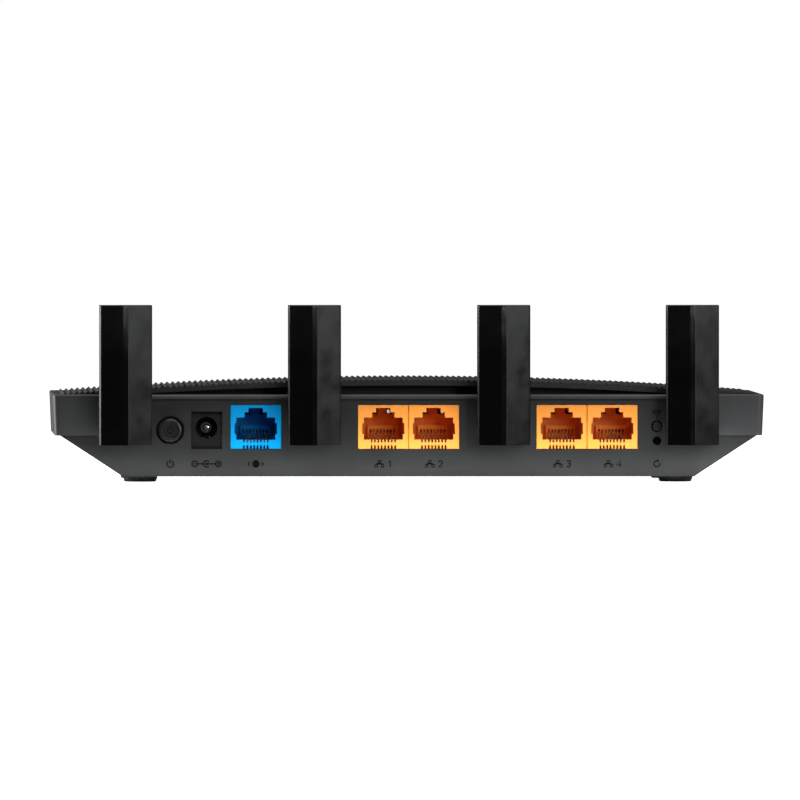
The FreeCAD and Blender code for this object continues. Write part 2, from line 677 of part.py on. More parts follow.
def foot_rounding(x):
    """Takes off the inner corner of the foot, so that it clears the base as the blade tilts."""
    swept = 4.9
    corner = box(x - 9, x + 9, HINGE_Y, BLADE_IN + 1, ANTENNA_FOOT_Z - 1, HINGE_Z)
    return corner.cut(rod_x(swept, x - 10, x + 10, HINGE_Y, HINGE_Z))


def on_ridge(edge, x):
    return all(abs(abs(v.X - x) - RIDGE_HALF_W) < 1e-4 and abs(v.Y + DEPTH / 2) < 1e-4 for v in edge.Vertexes)


def antenna_shell(x):
    pin_bore = rod_x(PIN_R + 0.02, x - 9, x + 9, HINGE_Y, HINGE_Z)
    lead_bore = rod_z(CABLE_R + 0.2, HINGE_Z + 1, HINGE_Z + 6, x, HINGE_Y + 0.1)
    form = blade_form(x)
    form = form.makeFillet(RIDGE_R, edges_where(form, lambda e: is_upright(e) and on_ridge(e, x)))
    form = form.makeChamfer(0.2, edges_where(form, lambda e: lies_at_z(e, ANTENNA_TOP_Z)))
    return form.cut([blade_cavity(x), hinge_slot(x), foot_rounding(x), pin_bore, lead_bore])


def antenna_lid(x):
    """Flat cover on the inner face, over the radiator."""
    w = CAVITY_HALF_W - CLEAR
    return box(x - w, x + w, BLADE_IN - LID_T, BLADE_IN, CAVITY_LOW + CLEAR, CAVITY_TOP - CLEAR)


def antenna_radiator(x):
    """Printed dipole: a thin board with two copper arms, and the end of its lead."""
    y = HINGE_Y + 0.6
    board = box(x - 4.5, x + 4.5, y, y + 0.8, HINGE_Z + 7.0, ANTENNA_TOP_Z - 2.5)
    arms = [
        box(x - 3.2, x + 3.2, y - 0.05, y, HINGE_Z + 9.0, HINGE_Z + 20.0),
        box(x - 3.2, x + 3.2, y - 0.05, y, HINGE_Z + 21.5, HINGE_Z + 33.0),
    ]
    lead = rod_z(CABLE_R, HINGE_Z + 3.0, HINGE_Z + 10.0, x, HINGE_Y + 0.1)
    return fuse([board] + arms + [lead])


def antenna_base(x):
    """Swivel base: a stub that turns in the panel, a flange outside it, and the tongue of the tilt hinge."""
    flange = rod_y(FLANGE_R, PANEL_Y - 1.3, PANEL_Y - 0.05, x, HINGE_Z)
    stub = rod_y(STUB_R, PANEL_Y - 0.5, PANEL_IN + 2.4, x, HINGE_Z)
    w, r = TONGUE_HALF_W, TONGUE_R
    tongue = box(x - w, x + w, HINGE_Y, PANEL_Y - 1, HINGE_Z - r, HINGE_Z + r)
    knuckle = rod_x(r, x - w, x + w, HINGE_Y, HINGE_Z)
    groove = rod_y(STUB_R + 1, PANEL_IN + 0.1, PANEL_IN + 1.1, x, HINGE_Z)
    groove = groove.cut(rod_y(3.2, PANEL_IN, PANEL_IN + 2, x, HINGE_Z))
    cable_bore = rod_y(0.8, PANEL_Y - 0.5, PANEL_IN + 3, x, HINGE_Z)
    pin_bore = rod_x(PIN_R + RUNNING, x - 5, x + 5, HINGE_Y, HINGE_Z)
    return fuse([flange, stub, tongue, knuckle]).cut([groove, cable_bore, pin_bore])


def antenna_pin(x):
    return rod_x(PIN_R, x - 7.6, x + 7.6, HINGE_Y, HINGE_Z)


def retaining_clips():
    """C-shaped clips in the stubs' grooves, which hold the antennas in the panel."""
    clips = []
    for x in ANTENNA_X:
        ring = rod_y(5.2, PANEL_IN + 0.2, PANEL_IN + 1.0, x, HINGE_Z).cut(
            rod_y(3.26, PANEL_IN, PANEL_IN + 2, x, HINGE_Z)
        )
        clips.append(ring.cut(box(x - 2.4, x + 2.4, PANEL_IN, PANEL_IN + 2, HINGE_Z - 6, HINGE_Z - 2)))
    return Part.makeCompound(clips)


# ---- leads inside the case ----------------------------------------------------------------------------
def tube_path(points):
    """Straight runs joined by tangent arcs, each as large as its two runs allow, and the arcs' radii."""
    edges, radii, start = [], [], points[0]
    for before, here, after in zip(points, points[1:], points[2:]):
        into, out = here - before, after - here
        turn = into.getAngle(out)
        reach = 0.45 * min(into.Length, out.Length)
        a = here - V(into).normalize() * reach
        b = here + V(out).normalize() * reach
        bisector = (V(out).normalize() - V(into).normalize()).normalize()
        r = reach / math.tan(turn / 2)
        middle = here + bisector * (r / math.cos(turn / 2) - r)
        edges += [Part.LineSegment(start, a).toShape(), Part.Arc(a, middle, b).toShape()]
        radii.append(round(r, 1))
        start = b
    return Part.Wire(edges + [Part.LineSegment(start, points[-1]).toShape()]), radii


def coax_route(x):
    """From inside the antenna's stub, over the board and down to its plug."""
    side = -1 if x > 0 else 1
    y = PANEL_IN - 2.0
    top = BOARD_TOP
    if abs(x) > 50:
        return [
            V(x, y, HINGE_Z), V(x, y + 9.0, HINGE_Z), V(x + side * 3.0, y + 17.0, HINGE_Z - 1.5),
            V(x + side * 12.0, y + 21.6, top + 3.5), V(x + side * 17.0, y + 25.6, top + 1.7),
            V(x + side * 19.0, y + 31.1, top + 1.5),
        ]  # fmt: skip
    return [
        V(x, y, HINGE_Z), V(x, y + 10.0, HINGE_Z), V(x + side * 1.0, y + 19.6, HINGE_Z - 3.0),
        V(x + side * 3.0, y + 26.6, top + 1.7), V(x + side * 4.0, y + 34.6, top + 1.5),
    ]  # fmt: skip


def coax_leads():
    """The leads, one tube each. Prints each one's length, bend radii and volume over section x length."""
    leads = []
    for x in ANTENNA_X:
        points = coax_route(x)
        path, radii = tube_path(points)
        ring = Part.Wire(Part.makeCircle(CABLE_R, points[0], points[1] - points[0]))
        lead = path.makePipeShell([ring], True, False)
        share = lead.Volume / (math.pi * CABLE_R**2 * path.Length)
        print("lead at x", x, "length", round(path.Length, 1), "radii", radii, "share", round(share, 4))
        leads.append(lead)
    return Part.makeCompound(leads)


def coax_plugs():
    """Small round connectors that clip the leads to the board."""
    plugs = []
    for x in ANTENNA_X:
        end = coax_route(x)[-1]
        plug = rod_z(1.5, BOARD_TOP + 0.02, end.z + CABLE_R + 0.3, end.x, end.y + 1.6)
        plugs.append(plug)
    return Part.makeCompound(plugs)


# ---- board --------------------------------------------------------------------------------------------
def main_board():
    board = box(-BOARD_HALF_W, BOARD_HALF_W, BOARD_REAR, BOARD_FRONT, BOARD_TOP - BOARD_T, BOARD_TOP)
    return board.cut([rod_z(1.3, 0, 20, x, y) for x, y in BOARD_SCREWS])


SOC_X, SOC_Y = 0.0, 4.0


def soc_chip():
    return block(SOC_X, SOC_Y, BOARD_TOP, 19, 19, 1.3)


def thermal_pad():
    return block(SOC_X, SOC_Y, BOARD_TOP + 1.3, 18, 18, 0.7)


def heat_sink():
    """Aluminium plate with a row of thin fins."""
    z = BOARD_TOP + 2.0
    plate = block(SOC_X, SOC_Y, z, 42, 36, 1.8)
    fins = [block(SOC_X - 20.4 + 3.4 * i, SOC_Y, z + 1, 1.1, 36, 8.5) for i in range(13)]
    return fuse([plate] + fins)


def shield_can(x, y, width, depth):
    """Pressed radio shield: a thin box, open below, with round holes in its lid."""
    can = block(x, y, BOARD_TOP, width, depth, 3.0)
    can = can.makeFillet(0.6, edges_where(can, is_upright))
    inside = block(x, y, BOARD_TOP - 1, width - 0.6, depth - 0.6, 3.7)
    holes = [
        rod_z(0.9, BOARD_TOP, BOARD_TOP + 5, x + i * 4.0, y + j * 4.0)
        for i in range(-3, 4)
        for j in range(-1, 2)
    ]
    return can.cut([inside] + holes)


def shield_cans():
    return Part.makeCompound([shield_can(-50, 18, 34, 22), shield_can(52, 8, 34, 22)])


def memory_chips():
    return Part.makeCompound([block(28, 20, BOARD_TOP, 14, 10, 1.1), block(-24, 27, BOARD_TOP, 8, 6, 1.4)])


def line_transformers():
    return Part.makeCompound([
        block(WAN_X, -21.5, BOARD_TOP, 17, 8.5, 6.2),
        block(LAN_A_X, -21.5, BOARD_TOP, 27, 8.5, 6.2),
        block(LAN_B_X - 4, -21.5, BOARD_TOP, 27, 8.5, 6.2),
    ])  # fmt: skip


def capacitors():
    """Electrolytic cans with a groove near the foot and a scored top."""
    cans = []
    for x, y, r, h in ((-71.5, -8.5, 4.0, 11.0), (-60.5, -22.0, 3.2, 9.0), (-62.0, -5.0, 4.0, 11.0)):
        can = rod_z(r, BOARD_TOP, BOARD_TOP + h, x, y)
        ring = rod_z(r + 1, BOARD_TOP + 1.4, BOARD_TOP + 1.9, x, y)
        ring = ring.cut(rod_z(r - 0.35, BOARD_TOP, BOARD_TOP + 3, x, y))
        score = cross_recess(x, y, BOARD_TOP + h - 0.25, BOARD_TOP + h + 1, r * 0.75)
        cans.append(can.cut([ring, score]))
    return Part.makeCompound(cans)


def power_inductors():
    coils = []
    for x, y in ((-49.0, -8.0), (-39.0, -8.0)):
        coil = block(x, y, BOARD_TOP, 7.2, 7.2, 4.0)
        coils.append(coil.makeFillet(1.2, edges_where(coil, is_upright)))
    return Part.makeCompound(coils)


def status_leds():
    return Part.makeCompound([block(x, LED_Y, BOARD_TOP, 1.6, 1.2, 0.8) for x in LED_X])


def light_guide():
    """Clear moulding: a leg over each indicator, a bar behind the front wall, and a lug in each window."""
    front = FRONT_Y - DRAFT * (RIM_Z - LED_Z) / (RIM_Z - SKIRT_Z) - 0.1
    wall = INNER_FRONT - CLEAR
    bar = box(LED_X[0] - 3, LED_X[-1] + 3, wall - 2.0, wall, LED_Z - 1.6, LED_Z + 1.6)
    pieces = [bar]
    for x in LED_X:
        pieces.append(box(x - 1.5, x + 1.5, wall - 0.5, front, LED_Z - 0.42, LED_Z + 0.42))
        pieces.append(box(x - 1.0, x + 1.0, LED_Y - 1.0, wall - 1.0, LED_Z - 1.0, LED_Z + 1.0))
        pieces.append(box(x - 1.0, x + 1.0, LED_Y - 1.0, LED_Y + 1.0, BOARD_TOP + 1.1, LED_Z + 1.0))
    return fuse(pieces)


# ---- fasteners, feet, label ---------------------------------------------------------------------------
def case_screws():
    screws = []
    for x, y in CASE_SCREWS:
        z = BASE_Z + 0.9
        head = rod_z(2.6, z, z + 1.8, x, y)
        screw = head.fuse(rod_z(1.25, z, 19.0, x, y))
        screws.append(screw.cut(cross_recess(x, y, z - 1, z + 1.0, 1.6)))
    return Part.makeCompound(screws)


def board_screws():
    screws = []
    for x, y in BOARD_SCREWS:
        head = rod_z(2.4, BOARD_TOP, BOARD_TOP + 1.6, x, y)
        head = head.makeFillet(0.5, edges_where(head, lambda e: lies_at_z(e, BOARD_TOP + 1.6))[:1])
        screw = head.fuse(rod_z(0.95, 4.2, BOARD_TOP + 0.5, x, y))
        screws.append(screw.cut(cross_recess(x, y, BOARD_TOP + 0.8, BOARD_TOP + 3, 1.5)))
    return Part.makeCompound(screws)


def rubber_feet():
    feet = []
    for x, y in FEET:
        pad = Part.makeCone(FOOT_LOW_R, FOOT_TOP_R, FOOT_H, V(x, y, 0), V(0, 0, 1))
        pad = pad.makeFillet(0.5, edges_where(pad, lambda e: lies_at_z(e, 0))[:1])
        feet.append(pad.fuse(rod_z(FOOT_TOP_R, FOOT_H, FOOT_H + FOOT_SUNK, x, y)))
    return Part.makeCompound(feet)


def rating_label():
    return block(0, LABEL_Y, BASE_Z + 0.02, LABEL_W, LABEL_D, LABEL_T)


# ---- the nodes ----------------------------------------------------------------------------------------
def all_nodes():
    nodes = {
        "lower_housing": lower_housing(),
        "rear_panel": rear_panel(),
        "vent_deck": vent_deck(),
        "upper_housing": upper_housing(),
        "top_cover": top_cover(),
        "rubber_feet": rubber_feet(),
        "case_screws": case_screws(),
        "board_screws": board_screws(),
        "rating_label": rating_label(),
        "main_board": main_board(),
        "soc_chip": soc_chip(),
        "thermal_pad": thermal_pad(),
        "heat_sink": heat_sink(),
        "shield_cans": shield_cans(),
        "memory_chips": memory_chips(),
        "line_transformers": line_transformers(),
        "capacitors": capacitors(),
        "power_inductors": power_inductors(),
        "status_leds": status_leds(),
        "light_guide": light_guide(),
        "wan_jack_housing": jack_housing(WAN_X, 1),
        "wan_jack_contacts": jack_contacts(WAN_X, 1),
        "lan_jack_left_housing": jack_housing(LAN_A_X, 2),
        "lan_jack_left_contacts": jack_contacts(LAN_A_X, 2),
        "lan_jack_right_housing": jack_housing(LAN_B_X, 2),
        "lan_jack_right_contacts": jack_contacts(LAN_B_X, 2),
        "dc_jack_housing": dc_jack_housing(),
        "dc_jack_pin": dc_jack_pin(),
        "dc_jack_spring": dc_jack_spring(),
        "power_button_cap": power_button_cap(),
        "power_switch_stem": power_switch_stem(),
        "power_switch_body": power_switch_body(),
        "wps_button_cap": wps_button_cap(),
        "wps_switch_plunger": wps_switch_plunger(),
        "wps_switch_body": wps_switch_body(),
        "reset_switch_plunger": reset_switch_plunger(),
        "reset_switch_body": reset_switch_body(),
        "antenna_retaining_clips": retaining_clips(),
        "coax_leads": coax_leads(),
        "coax_plugs": coax_plugs(),
    }
    for n, x in enumerate(ANTENNA_X, 1):
        nodes[f"antenna_{n}_base"] = antenna_base(x)
        nodes[f"antenna_{n}_pin"] = antenna_pin(x)
        nodes[f"antenna_{n}_shell"] = antenna_shell(x)
        nodes[f"antenna_{n}_lid"] = antenna_lid(x)
        nodes[f"antenna_{n}_radiator"] = antenna_radiator(x)
    return nodes


os.makedirs("parts", exist_ok=True)
for name, shape in all_nodes().items():
    shape.exportStep(f"parts/{name}.step")
    print(name, "solids", len(shape.Solids), "valid", shape.isValid(), "volume", round(shape.Volume, 2))
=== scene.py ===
import json
import math
import random

import bpy
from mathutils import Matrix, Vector

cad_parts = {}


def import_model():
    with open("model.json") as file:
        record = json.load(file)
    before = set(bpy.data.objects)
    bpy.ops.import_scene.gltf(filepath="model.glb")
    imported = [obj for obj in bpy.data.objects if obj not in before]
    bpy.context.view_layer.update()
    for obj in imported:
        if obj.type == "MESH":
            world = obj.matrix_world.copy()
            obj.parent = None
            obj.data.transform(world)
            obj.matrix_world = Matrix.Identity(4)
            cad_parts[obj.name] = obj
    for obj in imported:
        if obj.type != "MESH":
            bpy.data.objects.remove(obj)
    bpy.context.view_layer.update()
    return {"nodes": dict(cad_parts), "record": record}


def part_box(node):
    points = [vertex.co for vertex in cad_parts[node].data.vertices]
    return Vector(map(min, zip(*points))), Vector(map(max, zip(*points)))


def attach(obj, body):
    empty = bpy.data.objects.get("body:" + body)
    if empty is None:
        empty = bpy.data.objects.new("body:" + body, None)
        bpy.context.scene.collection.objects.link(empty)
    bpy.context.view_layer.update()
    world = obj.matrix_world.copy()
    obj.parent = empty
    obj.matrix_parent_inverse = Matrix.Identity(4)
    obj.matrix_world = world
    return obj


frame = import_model()

# The CAD model carries the shapes. This scene gives every node its material, adds the symbols on the port
# panel, the power button and the front, the ruled frame on the label and the small parts on the main board,
# and sets up the studio and camera.
# Lengths are in metres and the frame is the CAD's: +X right as the port panel is faced, +Y front, +Z up.

MM = 0.001
SEED = 7
nodes = frame["nodes"]


# ---- places read from the frame -----------------------------------------------------------------------
def middle(node):
    low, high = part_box(node)
    return (low + high) / 2


PANEL_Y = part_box("rear_panel")[0].y
ANTENNA_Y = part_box("antenna_1_shell")[0].y
ANTENNA_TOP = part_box("antenna_1_shell")[1].z
HALF_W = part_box("upper_housing")[1].x


# ---- nodes of a material ------------------------------------------------------------------------------
class Shader:
    """A material's node tree, built a node at a time around one Principled BSDF."""

    def __init__(self, name):
        self.material = bpy.data.materials.new(name)
        self.material.use_nodes = True
        self.tree = self.material.node_tree
        self.bsdf = self.tree.nodes["Principled BSDF"]
        coordinates = self.tree.nodes.new("ShaderNodeTexCoord")
        self.place = coordinates.outputs["Object"]

    def set(self, **values):
        for socket, value in values.items():
            self.bsdf.inputs[socket.replace("_", " ")].default_value = value
        return self

    def link(self, output, socket):
        self.tree.links.new(output, self.bsdf.inputs[socket])
        return self

    def node(self, kind):
        return self.tree.nodes.new("ShaderNode" + kind)

    def stretched(self, scale):
        """Object coordinates times scale, a vector."""
        mapping = self.node("Mapping")
        mapping.inputs["Scale"].default_value = scale
        self.tree.links.new(self.place, mapping.inputs["Vector"])
        return mapping.outputs["Vector"]

    def noise(self, size, detail=3.0, stretch=(1, 1, 1)):
        """Noise from 0 to 1 whose blotches are about size metres across."""
        texture = self.node("TexNoise")
        texture.inputs["Scale"].default_value = 1 / size
        texture.inputs["Detail"].default_value = detail
        self.tree.links.new(self.stretched(stretch), texture.inputs["Vector"])
        return texture.outputs["Fac"]

    def cells(self, size, stretch=(1, 1, 1)):
        """Distance to the nearest of scattered points that are about size metres apart."""
        texture = self.node("TexVoronoi")
        texture.inputs["Scale"].default_value = 1 / size
        self.tree.links.new(self.stretched(stretch), texture.inputs["Vector"])
        return texture.outputs["Distance"]

    def ramp(self, value, stops):
        """A colour ramp of (position, colour) stops over value."""
        made = self.node("ValToRGB")
        elements = made.color_ramp.elements
        while len(elements) < len(stops):
            elements.new(0.5)
        for element, (position, colour) in zip(elements, stops):
            element.position = position
            element.color = colour
        self.tree.links.new(value, made.inputs["Fac"])
        return made.outputs["Color"]

    def spread(self, value, low, high, start=0.3, end=0.7):
        """Value from start to end, turned into low to high."""
        made = self.node("MapRange")
        for socket, number in (("From Min", start), ("From Max", end), ("To Min", low), ("To Max", high)):
            made.inputs[socket].default_value = number
        self.tree.links.new(value, made.inputs["Value"])
        return made.outputs["Result"]

    def bump(self, value, height, after=None):
        """A bump of height metres over value, on top of the bump after."""
        made = self.node("Bump")
        made.inputs["Strength"].default_value = 1.0
        made.inputs["Distance"].default_value = height
        self.tree.links.new(value, made.inputs["Height"])
        if after is not None:
            self.tree.links.new(after, made.inputs["Normal"])
        return made.outputs["Normal"]


def colour(r, g, b):
    return (r, g, b, 1.0)


def shade(base, factor):
    return colour(*(min(1.0, c * factor) for c in base))


def plastic(name, base, rough=0.42, grain=0.16 * MM, depth=0.004 * MM, variation=0.12, specular=0.5):
    """Moulded plastic: fine spark-eroded grain, slow variation of tone, and patches more polished."""
    s = Shader(name)
    tone = s.noise(14 * MM, 4)
    s.link(s.ramp(tone, [(0.3, shade(base, 1 - variation)), (0.7, shade(base, 1 + variation))]), "Base Color")
    s.link(s.spread(s.noise(5 * MM, 5), rough - 0.05, rough + 0.05), "Roughness")
    wave = s.bump(s.noise(9 * MM, 2), 0.004 * MM)
    s.link(s.bump(s.noise(grain, 2), depth, wave), "Normal")
    return s.set(Specular_IOR_Level=specular).material


def metal(name, base, rough=0.28, brushed=(1, 1, 1), depth=0.002 * MM):
    """Plated or bare metal with fine lines along one axis."""
    s = Shader(name)
    lines = s.noise(0.4 * MM, 4, brushed)
    s.link(s.ramp(lines, [(0.3, shade(base, 0.82)), (0.7, shade(base, 1.08))]), "Base Color")
    s.link(s.spread(lines, rough - 0.06, rough + 0.08), "Roughness")
    s.link(s.bump(lines, depth), "Normal")
    return s.set(Metallic=1.0).material


def rubber(name, base, rough=0.5):
    s = Shader(name)
    s.link(s.ramp(s.noise(3 * MM, 5), [(0.3, shade(base, 0.8)), (0.7, shade(base, 1.25))]), "Base Color")
    s.link(s.spread(s.noise(1.5 * MM, 4), rough - 0.07, rough + 0.07), "Roughness")
    s.link(s.bump(s.noise(0.25 * MM, 3), 0.006 * MM), "Normal")
    return s.set(Specular_IOR_Level=0.5).material


def circuit_board(name, mask):
    """Solder mask over copper: lighter where tracks run under it, with scattered vias."""
    s = Shader(name)
    tracks = s.cells(3.2 * MM, (1.0, 0.35, 1.0))
    tones = ((0.0, 1.7), (0.22, 1.6), (0.27, 1.0), (1.0, 0.8))
    s.link(s.ramp(tracks, [(place, shade(mask, factor)) for place, factor in tones]), "Base Color")
    s.link(s.spread(s.noise(2 * MM, 3), 0.22, 0.34), "Roughness")
    s.link(s.bump(tracks, 0.02 * MM), "Normal")
    return s.set(Coat_Weight=0.3, Coat_Roughness=0.15).material


def epoxy_package(name):
    """Chip package: fine mottled mould surface."""
    return plastic(name, (0.012, 0.012, 0.013), 0.55, 0.08 * MM, 0.003 * MM)


def clear_plastic(name):
    s = Shader(name)
    s.link(s.spread(s.noise(2 * MM, 3), 0.08, 0.16), "Roughness")
    tint = s.ramp(s.noise(4 * MM, 2), [(0.3, colour(0.82, 0.86, 0.9)), (0.7, colour(0.92, 0.95, 0.97))])
    s.link(tint, "Base Color")
    return s.set(Transmission_Weight=0.85, IOR=1.49).material


def film(name, base):
    """Printed label film with a faint woven sheen."""
    s = Shader(name)
    s.link(s.ramp(s.noise(6 * MM, 4), [(0.3, shade(base, 0.93)), (0.7, shade(base, 1.05))]), "Base Color")
    s.link(s.bump(s.noise(0.6 * MM, 2), 0.003 * MM), "Normal")
    return s.set(Roughness=0.38, Metallic=0.25).material


# ---- the materials ------------------------------------------------------------------------------------
BLACK_CASE = (0.036, 0.037, 0.038)
BLACK_BASE = (0.0130, 0.0134, 0.0138)
BLACK_COVER = (0.018, 0.018, 0.0185)
BLACK_GLOSS = (0.0016, 0.0016, 0.0018)
BLUE = (0.0, 0.215, 0.51)
ORANGE = (0.86, 0.30, 0.05)

MATERIALS = {
    "case_plastic": plastic("case_plastic", BLACK_CASE, 0.40, specular=0.25),
    "base_plastic": plastic("base_plastic", BLACK_BASE, 0.42, specular=0.42),
    "cover_plastic": plastic("cover_plastic", BLACK_COVER, 0.45, specular=0.25),
    "antenna_plastic": plastic("antenna_plastic", BLACK_GLOSS, 0.22, 0.12 * MM, 0.0012 * MM, specular=0.28),
    "antenna_inner_plastic": plastic("antenna_inner_plastic", BLACK_CASE, 0.42),
    "hinge_plastic": plastic("hinge_plastic", (0.012, 0.012, 0.013), 0.36),
    "button_plastic": plastic("button_plastic", (0.009, 0.009, 0.010), 0.30, specular=0.5),
    "switch_plastic": plastic("switch_plastic", (0.020, 0.020, 0.021), 0.5),
    "stem_plastic": plastic("stem_plastic", (0.62, 0.61, 0.57), 0.4),
    "jack_black": plastic("jack_black", (0.006, 0.006, 0.007), 0.36, specular=0.3),
    "blue_plastic": plastic("blue_plastic", BLUE, 0.38, variation=0.05, specular=0.2),
    "orange_plastic": plastic("orange_plastic", ORANGE, 0.38, variation=0.05, specular=0.25),
    "foot_rubber": rubber("foot_rubber", (0.050, 0.050, 0.050), 0.24),
    "coax_jacket": rubber("coax_jacket", (0.012, 0.012, 0.012), 0.4),
    "thermal_rubber": rubber("thermal_rubber", (0.30, 0.34, 0.42), 0.6),
    "steel_pin": metal("steel_pin", (0.56, 0.56, 0.57), 0.25, (0.1, 1, 1)),
    "screw_steel": metal("screw_steel", (0.22, 0.22, 0.23), 0.35, (1, 1, 0.2)),
    "contact_metal": metal("contact_metal", (0.86, 0.80, 0.66), 0.22, (1, 0.1, 1)),
    "nickel": metal("nickel", (0.70, 0.68, 0.64), 0.18, (1, 0.1, 1)),
    "tinplate": metal("tinplate", (0.64, 0.64, 0.63), 0.35, (0.15, 1, 1)),
    "sink_aluminium": metal("sink_aluminium", (0.60, 0.60, 0.61), 0.38, (1, 0.08, 1)),
    "can_sleeve": metal("can_sleeve", (0.42, 0.43, 0.46), 0.32, (1, 1, 0.15)),
    "circuit_board": circuit_board("circuit_board", (0.006, 0.055, 0.028)),
    "antenna_board": circuit_board("antenna_board", (0.010, 0.070, 0.040)),
    "chip_plastic": epoxy_package("chip_plastic"),
    "ferrite": plastic("ferrite", (0.030, 0.030, 0.031), 0.6),
    "led_resin": plastic("led_resin", (0.75, 0.74, 0.60), 0.2),
    "clear_plastic": clear_plastic("clear_plastic"),
    "label_paper": film("label_paper", (0.55, 0.55, 0.56)),
}
INK = plastic("ink", (0.0015, 0.0015, 0.0015), 0.5, specular=0.04)
LABEL_INK = plastic("label_ink", (0.05, 0.05, 0.05), 0.5)
PALE_INK = plastic("pale_ink", (0.45, 0.45, 0.45), 0.5)


def paint_nodes():
    """Gives each CAD node the material of its slot in the record."""
    for part in frame["record"]["subparts"]:
        mesh = nodes[part["node"]].data
        mesh.materials.clear()
        mesh.materials.append(MATERIALS[part["material_slot"]])


# ---- symbols ------------------------------------------------------------------------------------------
def ribbon(points, width, closed):
    """The outline of a flat stroke of that width along points, as (left, right) pairs of 2-D points."""
    count = len(points)
    pairs = []
    for i, here in enumerate(points):
        before = points[i - 1] if i or closed else here
        after = points[(i + 1) % count] if i + 1 < count or closed else here
        along = (Vector(after) - Vector(before)).normalized()
        aside = Vector((-along.y, along.x)) * width / 2
        pairs.append((Vector(here) + aside, Vector(here) - aside))
    return pairs


def arc(x, y, r, start, end, steps=20):
    """Points on a circle about x, y from start to end degrees."""
    turns = [math.radians(start + (end - start) * i / steps) for i in range(steps + 1)]
    return [(x + r * math.cos(t), y + r * math.sin(t)) for t in turns]


def ring(x, y, r):
    return arc(x, y, r, 0, 342, 19), True


def line(*points):
    return list(points), False


def filled_dot(x, y, r):
    """A small disc, drawn as a ring whose stroke reaches its middle."""
    return arc(x, y, r / 2, 0, 342, 19), True, r


SUNK = -0.02  # where the strokes start, in millimetres from the surface they lie on


def print_symbols(name, strokes, origin, right, up, out, width, height, material, body):
    """One mesh of raised strokes.

    Stroke points are in millimetres along right and up from origin, and so are width and height.
    """
    vertices, faces = [], []
    for stroke in strokes:
        points, closed = stroke[0], stroke[1]
        broad = stroke[2] if len(stroke) > 2 else width
        pairs = ribbon(points, broad, closed)
        start = len(vertices)
        for left, right_side in pairs:
            for level in (SUNK, height):
                for point in (left, right_side):
                    vertices.append(origin + (right * point.x + up * point.y + out * level) * MM)
        count = len(pairs)
        for i in range(count if closed else count - 1):
            a, b = start + 4 * i, start + 4 * ((i + 1) % count)
            faces += [(a, b, b + 1, a + 1), (a + 2, a + 3, b + 3, b + 2)]
            faces += [(a, a + 2, b + 2, b), (a + 1, b + 1, b + 3, a + 3)]
        if not closed:
            last = start + 4 * (count - 1)
            faces += [(start, start + 1, start + 3, start + 2), (last, last + 2, last + 3, last + 1)]
    mesh = bpy.data.meshes.new(name)
    mesh.from_pydata(vertices, [], faces)
    mesh.materials.append(material)
    piece = bpy.data.objects.new(name, mesh)
    bpy.context.scene.collection.objects.link(piece)
    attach(piece, body)


def shifted(strokes, x, y, scale=1.0):
    return [([(x + a * scale, y + b * scale) for a, b in s[0]], *s[1:]) for s in strokes]


def power_symbol():
    return [(arc(0, 0, 1.0, 125, 415), False), line((0, 0.1), (0, 1.35))]


def polarity_symbol():
    """Centre-positive power jack: minus in a ring, the plug's two contacts, plus in a ring."""
    minus, plus = -3.6, 3.6
    return [
        ring(minus, 0, 0.85), line((minus - 0.4, 0), (minus + 0.4, 0)), line((minus + 0.85, 0), (-1.0, 0)),
        (arc(0, 0, 0.95, 40, 320), False), filled_dot(0, 0, 0.4), line((0.3, 0), (plus - 0.85, 0)),
        ring(plus, 0, 0.85), line((plus - 0.4, 0), (plus + 0.4, 0)), line((plus, -0.4), (plus, 0.4)),
    ]  # fmt: skip


def globe_symbol():
    turns = [math.radians(t) for t in range(0, 360, 18)]
    meridian = [(0.42 * math.sin(t), 0.95 * math.cos(t)) for t in turns]
    return [ring(0, 0, 0.95), line((-0.95, 0), (0.95, 0)), (meridian, True), line((0, -0.95), (0, 0.95))]


def chevrons(reach):
    return [line((s * (reach - 0.5), 0.55), (s * reach, 0), (s * (reach - 0.5), -0.55)) for s in (-1, 1)]


def network_symbol():
    """Three linked boxes."""
    def square(x, y, a):
        return [(x - a, y - a), (x + a, y - a), (x + a, y + a), (x - a, y + a)], True

    return [
        square(0, 0.62, 0.36), square(-0.95, -0.6, 0.36), square(0.95, -0.6, 0.36),
        line((0, 0.26), (0, 0.0)), line((-0.95, -0.24), (-0.95, 0.0), (0.95, 0.0), (0.95, -0.24)),
    ]  # fmt: skip


def numeral(n):
    """The figures 1 to 4, 1.9 mm tall."""
    figures = {
        1: [line((-0.4, 0.55), (0.05, 0.95), (0.05, -0.95))],
        2: [(arc(0, 0.4, 0.55, 165, -40, 10) + [(-0.55, -0.95), (0.6, -0.95)], False)],
        3: [(arc(0, 0.45, 0.5, 150, -90, 10), False), (arc(0, -0.45, 0.52, 90, -150, 10), False)],
        4: [line((0.35, -0.95), (0.35, 0.95), (-0.6, -0.35), (0.65, -0.35))],
    }
    return figures[n]


def reset_symbol():
    return [(arc(0, 0, 0.9, 60, 370), False), line((0.1, 0.5), (0.5, 0.82), (0.12, 1.22))]


def wireless_symbol():
    return [filled_dot(0, 0, 0.25)] + [(arc(0, 0, r, 45, 135, 10), False) for r in (0.85, 1.5, 2.15)]


BUTTON_DISH = 0.35 * MM  # depth of the dish in the power button's face
FRONT_DRAFT = 0.5 * MM  # how much further in the front wall's foot is than its rim
FRONT_ROW_Z = 22.6 * MM  # the row of symbols over the front windows
PANEL_ROW_Z = 5.5 * MM  # the row of symbols under the panel's openings
LED_WIDTH = 1.6 * MM
PRINT_H = 0.03  # height of the panel's printed strokes, in millimetres


